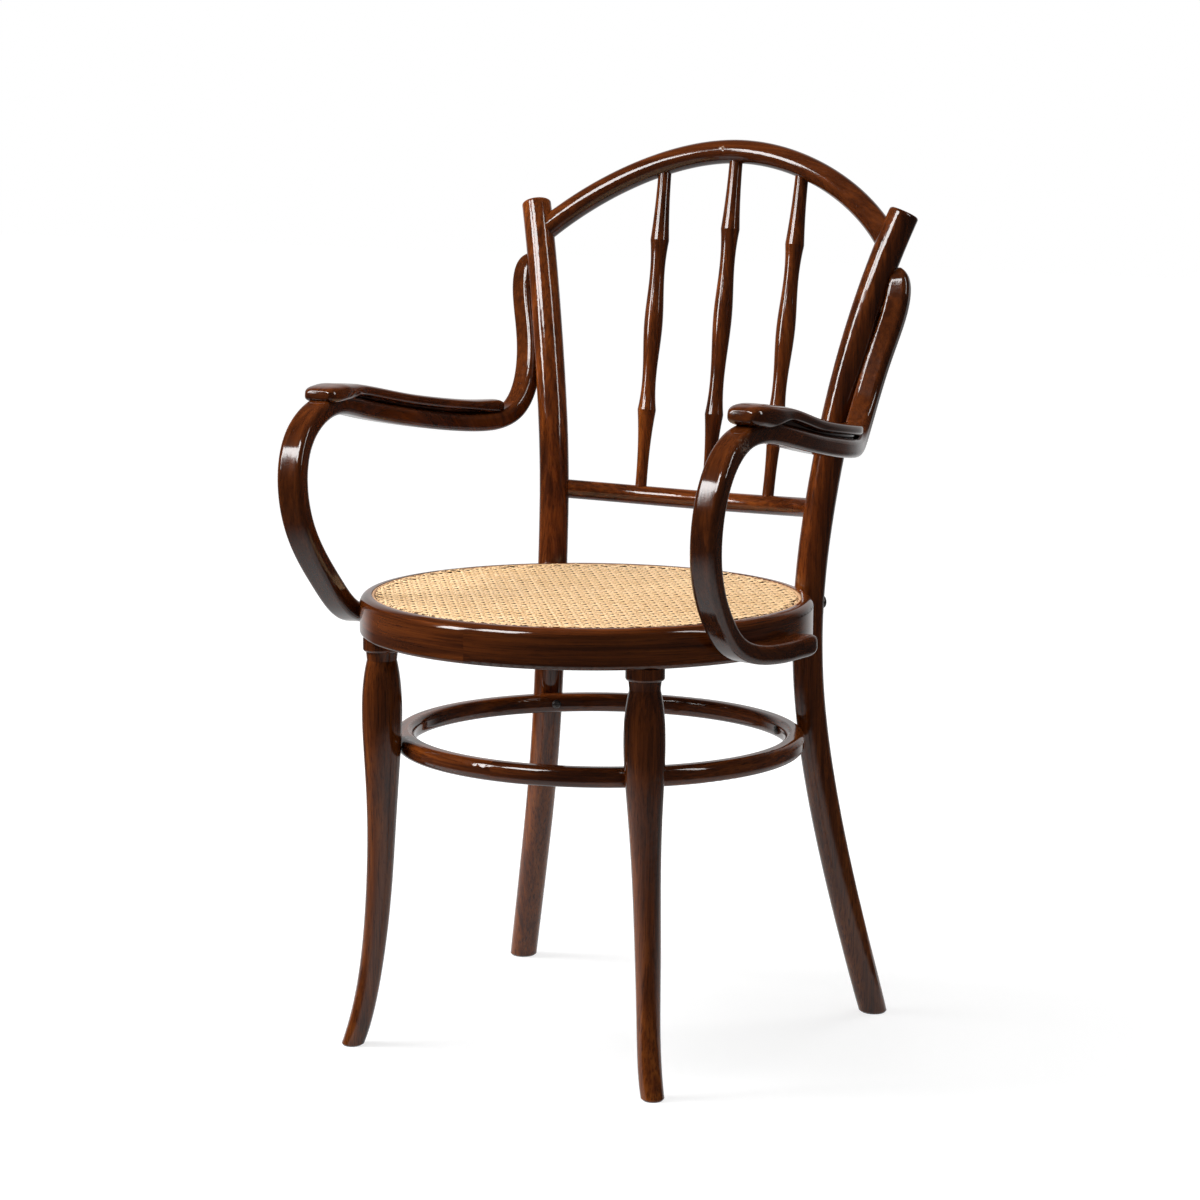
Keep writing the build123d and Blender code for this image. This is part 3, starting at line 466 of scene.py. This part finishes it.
def pad_strip(verts, faces, side, widths, top, bottom, inset):
    """Closed strip along the pad's line, with a rounded section and rounded ends."""
    start = len(verts)
    for station in range(PAD_STATIONS + 1):
        share = 0.5 - 0.5 * math.cos(math.pi * station / PAD_STATIONS)
        gap = min(share, 1 - share) * (PAD_LINE[-1] - PAD_LINE[0]).length
        share = inset + (1 - 2 * inset) * share
        point, way = pad_place(share)
        across = Vector((-way.y, way.x, 0)).normalized()
        up = across.cross(way)
        up = up if up.z > 0 else -up
        round_off = 1 - math.sqrt(1 - max(0.0, 1 - gap / PAD_NOSE) ** 2)
        width = ease(point.y, widths) * (1 - NOSE_NARROWING * round_off)
        high = top(point.y)
        low = bottom(point.y)
        depth = (high - low) * (1 - NOSE_THINNING * round_off)
        for k in range(PAD_POINTS):
            angle = 2 * math.pi * k / PAD_POINTS
            c = squared(math.cos(angle))
            s = squared(math.sin(angle))
            spot = point + across * (c * width / 2) + up * ((high + low) / 2 + s * depth / 2)
            verts.append(Vector((side * spot.x, spot.y, spot.z)))
    for station in range(PAD_STATIONS):
        a = start + station * PAD_POINTS
        for k in range(PAD_POINTS):
            m = (k + 1) % PAD_POINTS
            faces.append((a + k, a + m, a + PAD_POINTS + m, a + PAD_POINTS + k))
    faces.append(tuple(range(start, start + PAD_POINTS)))
    faces.append(tuple(range(len(verts) - PAD_POINTS, len(verts))))


def make_pad(name, side, material):
    """One arm pad: the board and its spine. Each side has its own heights, as the bent arms do."""

    def top(y):
        return ease(y, PAD_HEIGHTS[side])

    def under(y):
        return top(y) - ease(y, PAD_DEPTHS[side])

    def spine_top(y):
        return top(y) - SPINE_SUNK

    def spine_foot(y):
        return PAD_FOOT

    verts = []
    faces = []
    pad_strip(verts, faces, side, PAD_WIDTHS, top, under, 0.0)
    pad_strip(verts, faces, side, SPINE_WIDTHS, spine_top, spine_foot, SPINE_INSET)
    mesh = bpy.data.meshes.new(name)
    mesh.from_pydata(verts, [], faces)
    shape = bmesh.new()
    shape.from_mesh(mesh)
    bmesh.ops.recalc_face_normals(shape, faces=shape.faces)
    shape.to_mesh(mesh)
    shape.free()
    mesh.polygons.foreach_set("use_smooth", [True] * len(mesh.polygons))
    mesh.materials.append(material)
    pad = bpy.data.objects.new(name, mesh)
    scene.collection.objects.link(pad)
    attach(pad, "root")
    return pad


PAD_LOOK = {"warmth": 0.8, "figure": CALM}
wood_pad_left = stained_wood("wood_pad_left", along_depth, (2.3, 4.6, 1.9), **PAD_LOOK)
pad_left = make_pad("pad_left", 1, wood_pad_left)
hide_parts("arm_pad_left")
wood_pad_right = stained_wood("wood_pad_right", along_depth, (8.3, 1.6, 2.9), **PAD_LOOK)
pad_right = make_pad("pad_right", -1, wood_pad_right)
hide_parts("arm_pad_right")


# Cane weave: pairs of strands both ways and single diagonals, woven over and under

PITCH = 0.0127
PAIR_HALF = 0.00145
STRAND_WIDTH = 0.0024
DIAGONAL_WIDTH = 0.0027
STRAND_THICKNESS = 0.0012
PAIR_LIFT = 0.00045
DIAGONAL_LIFT = 0.0006
STRAND_SECTION = ((-1.0, -1.0), (-1.0, 0.3), (-0.5, 1.0), (0.5, 1.0), (1.0, 0.3), (1.0, -1.0))
SKIN_FACES = (1, 2, 3)
# Material of the strands' sides and undersides: near-black painted shade that darkens the holes
# between the strands
SIDE_SHADE_TONE = 3
CANE_COLOURS = (
    ("cane_pale", (0.88, 0.63, 0.38), (0.76, 0.50, 0.26), (0.0, 0.0, 0.0)),
    ("cane_straw", (0.82, 0.57, 0.32), (0.68, 0.43, 0.21), (3.0, 1.0, 0.0)),
    ("cane_tan", (0.75, 0.49, 0.26), (0.60, 0.36, 0.16), (6.0, 2.0, 0.0)),
    # Painted shade, far darker than the cut fibre itself, for the strands' sides and undersides
    ("cane_side_shade", (0.10, 0.040, 0.012), (0.06, 0.022, 0.007), (2.0, 7.0, 0.0)),
)
PAIR_TONES = (0, 0, 1, 1, 2)
DIAGONAL_TONES = (0, 1, 1, 2)
PAIR_WANDER = 0.00022
DIAGONAL_WANDER = 0.00025
WEAVE_SEED = 41
SHEET_REACH = 1.25
STEEP = 0.3

# Directions of the sheet's rows and columns on the seat, and its edge, turned into the groove
ACROSS = Vector((1.020, -0.040, 0.0))
DEEP = Vector((0.270, 0.960, 0.0))
EDGE_REACH = 0.012
EDGE_BULGE = 0.0020
TURN_OUT = 0.0007
EDGE_CLEAR = 0.0008
BULGE_RANGE = (0.3, 1.0)
TURN_START = 0.0009
TURN_DOWN = 0.0032


def ribbon(verts, faces, tones, path, width, thickness, tone):
    """Closed strand along a list of points: crowned skin on top, cut sides, flat underside."""
    start = len(verts)
    count = len(STRAND_SECTION)
    for i, point in enumerate(path):
        before = path[max(i - 1, 0)]
        after = path[min(i + 1, len(path) - 1)]
        way = (after - before).normalized()
        side = way.cross(Vector((0, 0, 1)))
        if side.length < STEEP:
            side = Vector((-way.y, way.x, 0)) if side.length > 0 else Vector((1, 0, 0))
        side.normalize()
        top = side.cross(way).normalized()
        for across, up in STRAND_SECTION:
            verts.append(point + side * (across * width / 2) + top * (up * thickness / 2))
    for i in range(len(path) - 1):
        a = start + count * i
        for k in range(count):
            m = (k + 1) % count
            faces.append((a + k, a + m, a + count + m, a + count + k))
            # Sides and underside get the painted shade that darkens the holes; the top faces get
            # the straw skin
            tones.append(tone if k in SKIN_FACES else SIDE_SHADE_TONE)
    faces.append(tuple(range(start + count - 1, start - 1, -1)))
    faces.append(tuple(range(len(verts) - count, len(verts))))
    tones.extend((SIDE_SHADE_TONE, SIDE_SHADE_TONE))


def lay(u, v):
    """Place on the seat of a point of the sheet, which was stretched a little askew."""
    return ACROSS * u + DEEP * v


def strand(line, stations, lift, bulge):
    """Points of one strand across the seat, raised near the rim, turned down into the groove."""
    inside = [t for t in stations if line(t).length < CANE_RADIUS - EDGE_CLEAR]
    if len(inside) < 3:
        return None
    path = []
    for t in inside:
        spot = line(t)
        share = max(0.0, 1.0 - (CANE_RADIUS - spot.length) / EDGE_REACH)
        path.append(Vector((spot.x, spot.y, lift(t) + bulge * share)))
    for last, inner in ((0, 1), (-1, -2)):
        end = path[last]
        out = Vector((end.x, end.y, 0))
        way = path[last] - path[inner]
        way.z = 0
        way.normalize()
        b = out.dot(way)
        reach = -b + math.sqrt(max(b * b - out.length_squared + CANE_RADIUS ** 2, 0.0))
        edge = out + way * reach
        flat = edge.normalized()
        outer = edge + flat * TURN_OUT
        bend = [edge, outer + Vector((0, 0, -TURN_START)), outer + Vector((0, 0, -TURN_DOWN))]
        path = bend[::-1] + path if last == 0 else path + bend
    return [p + SEAT_CENTRE + Vector((0, 0, CANE_MIDDLE_Z)) for p in path]


def weave_cane():
    """Whole cane sheet as one mesh with three straw tones on the skin and painted shade on the
    strands' sides and undersides.
    """
    rng = random.Random(WEAVE_SEED)
    verts = []
    faces = []
    tones = []
    count = int(SHEET_REACH * CANE_RADIUS / PITCH) + 1
    cross = []
    for j in range(-count, count + 1):
        cross.extend((j * PITCH - PAIR_HALF, j * PITCH + PAIR_HALF, (j + 0.5) * PITCH))
    for upright in (True, False):
        for i in range(-count, count + 1):
            for hand in (-1, 1):
                wander = rng.uniform(-PAIR_WANDER, PAIR_WANDER)
                fixed = i * PITCH + hand * PAIR_HALF + wander
                sign = hand if upright else -hand

                def line(t, fixed=fixed, upright=upright):
                    return lay(fixed, t) if upright else lay(t, fixed)

                def lift(t, sign=sign):
                    nearest = round(t / PITCH) * PITCH
                    off = (t - nearest) / PAIR_HALF
                    return PAIR_LIFT * sign * max(-1.0, min(1.0, off)) if abs(off) < 2 else 0.0

                path = strand(line, cross, lift, rng.uniform(*BULGE_RANGE) * EDGE_BULGE)
                if path:
                    tone = rng.choice(PAIR_TONES)
                    ribbon(verts, faces, tones, path, STRAND_WIDTH, STRAND_THICKNESS, tone)
    quarter = [k * PITCH / 4 for k in range(-4 * count, 4 * count + 1)]
    for slope in (1, -1):
        for i in range(-2 * count, 2 * count + 1):
            offset = (i + 0.5) * PITCH + rng.uniform(-DIAGONAL_WANDER, DIAGONAL_WANDER)

            def line(t, offset=offset, slope=slope):
                return lay(t, slope * (t - offset))

            def lift(t, slope=slope):
                return -slope * DIAGONAL_LIFT * math.cos(2 * math.pi * t / PITCH)

            path = strand(line, quarter, lift, rng.uniform(*BULGE_RANGE) * EDGE_BULGE)
            if path:
                tone = rng.choice(DIAGONAL_TONES)
                ribbon(verts, faces, tones, path, DIAGONAL_WIDTH, STRAND_THICKNESS, tone)
    mesh = bpy.data.meshes.new("cane_weave")
    mesh.from_pydata(verts, [], faces)
    mesh.polygons.foreach_set("use_smooth", [True] * len(faces))
    for name, light, deep, shift in CANE_COLOURS:
        mesh.materials.append(cane(name, light, deep, shift))
    mesh.polygons.foreach_set("material_index", tones)
    mesh.update()
    sheet = bpy.data.objects.new("cane_weave", mesh)
    scene.collection.objects.link(sheet)
    return sheet


woven = weave_cane()
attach(woven, "root")
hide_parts("cane_panel", "cane_edge")


# Floor and light: the white sweep lies under and behind the chair, and the room in front,
# which only gloss shows, is dark

CAMERA_SIDE = (0.51, -0.86, 0.0)
SWEEP_BEHIND = (-0.93, -0.62)
ROOM_IN_GLOSS = 0.05
WORLD_FILL = 0.13
SWEEP_IN_GLOSS = 0.62
FLOOR_COLOUR = (0.30, 0.30, 0.30)
BLACK = (0.0, 0.0, 0.0)
FLOOR_HALF = 14.0
CLOSE_BY = (0.55, 1.3)
CLOSE_IN_GLOSS = 0.7
GLOW_RISE = (0.35, 1.6, 0.76, 0.97)
LAMP_TARGET = Vector((0, 0, 0.5))

# Lamps for streaks of gloss, then lamps for the plain level:
# azimuth and elevation in degrees, distance, width, height, watts
GLOSS_LAMPS = (
    ("box_gloss", -17, 37, 2.5, 0.90, 0.90, 46),
    ("low_gloss", -40, 24, 2.5, 0.56, 1.00, 32),
    ("strip_gloss", 88, 32, 2.6, 0.36, 1.5, 17),
)
PLAIN_LAMPS = (
    ("key_left", -60, 38, 2.4, 1.1, 1.1, 76),
    ("top_fill", -20, 80, 2.2, 1.4, 1.4, 38),
    ("back_fill", 165, 38, 2.6, 1.4, 1.2, 22),
)


def behind(tree, direction):
    """The sweep's level where a direction points away from the camera's side, else the room's."""
    ahead = tree.vector_math("DOT_PRODUCT", direction, CAMERA_SIDE).outputs["Value"]
    return tree.span(ahead, *SWEEP_BEHIND, SWEEP_IN_GLOSS, ROOM_IN_GLOSS)


def make_floor():
    """White floor that keeps the chair's soft shadow."""
    half = FLOOR_HALF
    mesh = bpy.data.meshes.new("floor")
    corners = [(-half, -half, 0), (half, -half, 0), (half, half, 0), (-half, half, 0)]
    mesh.from_pydata(corners, [], [(0, 1, 2, 3)])
    floor = bpy.data.objects.new("floor", mesh)
    scene.collection.objects.link(floor)
    tree = Tree(bpy.data.materials.new("floor_white"))
    both = tree.shader("ShaderNodeAddShader")
    matte = tree.nodes.new("ShaderNodeBsdfDiffuse")
    glow = tree.nodes.new("ShaderNodeEmission")
    tree.links.new(matte.outputs[0], both.inputs[0])
    tree.links.new(glow.outputs[0], both.inputs[1])
    path = tree.nodes.new("ShaderNodeLightPath")
    spot = tree.position()
    away = tree.vector_math("LENGTH", spot).outputs["Value"]
    close = tree.span(away, *CLOSE_BY, CLOSE_IN_GLOSS, ROOM_IN_GLOSS)
    direction = tree.vector_math("NORMALIZE", spot).outputs[0]
    sweep = tree.math("MAXIMUM", close, behind(tree, direction))
    gloss = path.outputs["Is Glossy Ray"]
    hidden = tree.math("MULTIPLY", gloss, tree.math("SUBTRACT", 1.0, sweep))
    tree.put(tree.mix(hidden, FLOOR_COLOUR, BLACK), matte.inputs["Color"])
    seen = tree.math("ADD", path.outputs["Is Camera Ray"], path.outputs["Is Transmission Ray"])
    shown = tree.math("ADD", seen, tree.math("MULTIPLY", gloss, sweep))
    rise = tree.span(away, *GLOW_RISE)
    tree.put(tree.math("MULTIPLY", shown, rise), glow.inputs["Strength"])
    mesh.materials.append(tree.owner)


def make_world():
    """White for the camera, an even fill for the object, and sweep and room for its gloss."""
    scene.world = bpy.data.worlds.new("studio")
    tree = Tree(scene.world)
    background = tree.shader("ShaderNodeBackground", "ShaderNodeOutputWorld")
    background.inputs["Color"].default_value = (1.0, 1.0, 1.0, 1.0)
    path = tree.nodes.new("ShaderNodeLightPath")
    direction = tree.nodes.new("ShaderNodeTexCoord").outputs["Generated"]
    seen = tree.math("ADD", path.outputs["Is Camera Ray"], path.outputs["Is Transmission Ray"])
    gloss = path.outputs["Is Glossy Ray"]
    rest = tree.math("SUBTRACT", 1.0, tree.math("ADD", seen, gloss))
    mirrored = tree.math("MULTIPLY", gloss, behind(tree, direction))
    fill = tree.math("MULTIPLY", tree.math("MAXIMUM", rest, 0.0), WORLD_FILL)
    shown = tree.math("ADD", seen, mirrored)
    tree.put(tree.math("ADD", shown, fill), background.inputs["Strength"])


def make_lamp(name, azimuth, elevation, distance, width, height, watts, gloss):
    """Soft box facing the chair, for gloss alone or plain light alone; azimuth 0 is in front."""
    a = math.radians(azimuth)
    e = math.radians(elevation)
    way = Vector((math.sin(a) * math.cos(e), -math.cos(a) * math.cos(e), math.sin(e)))
    data = bpy.data.lights.new(name, "AREA")
    data.shape = "RECTANGLE"
    data.size = width
    data.size_y = height
    data.energy = watts
    lamp = bpy.data.objects.new(name, data)
    lamp.location = LAMP_TARGET + way * distance
    lamp.rotation_euler = way.to_track_quat("Z", "Y").to_euler()
    lamp.visible_diffuse = not gloss
    lamp.visible_glossy = gloss
    scene.collection.objects.link(lamp)


make_floor()
make_world()
for gloss_lamp in GLOSS_LAMPS:
    make_lamp(*gloss_lamp, gloss=True)
for plain_lamp in PLAIN_LAMPS:
    make_lamp(*plain_lamp, gloss=False)


# Camera

def make_camera():
    """Camera solved from the photo: angles in radians, lengths in metres, the rest in pixels."""
    azimuth = 0.53620
    elevation = 0.15379
    distance = 3.38621
    focal_pixels = 3310.44
    target = Vector((0.00047, -0.03458, 0.44931))
    roll = 0.0082108
    centre_pixels = (592.41, 604.45)
    picture = 1200.0
    level = math.cos(elevation)
    back = Vector((math.sin(azimuth) * level, -math.cos(azimuth) * level, math.sin(elevation)))
    right = (-back).cross(Vector((0, 0, 1))).normalized()
    up = right.cross(-back).normalized()
    turned_right = right * math.cos(roll) + up * math.sin(roll)
    turned_up = up * math.cos(roll) - right * math.sin(roll)
    data = bpy.data.cameras.new("camera")
    data.sensor_width = 36.0
    data.lens = focal_pixels / picture * data.sensor_width
    data.shift_x = (picture / 2 - centre_pixels[0]) / picture
    data.shift_y = (centre_pixels[1] - picture / 2) / picture
    data.clip_end = 100.0
    camera = bpy.data.objects.new("camera", data)
    spin = Matrix((turned_right, turned_up, back)).transposed().to_4x4()
    camera.matrix_world = Matrix.Translation(target + back * distance) @ spin
    scene.collection.objects.link(camera)
    scene.camera = camera


make_camera()
scene.view_settings.view_transform = "Standard"
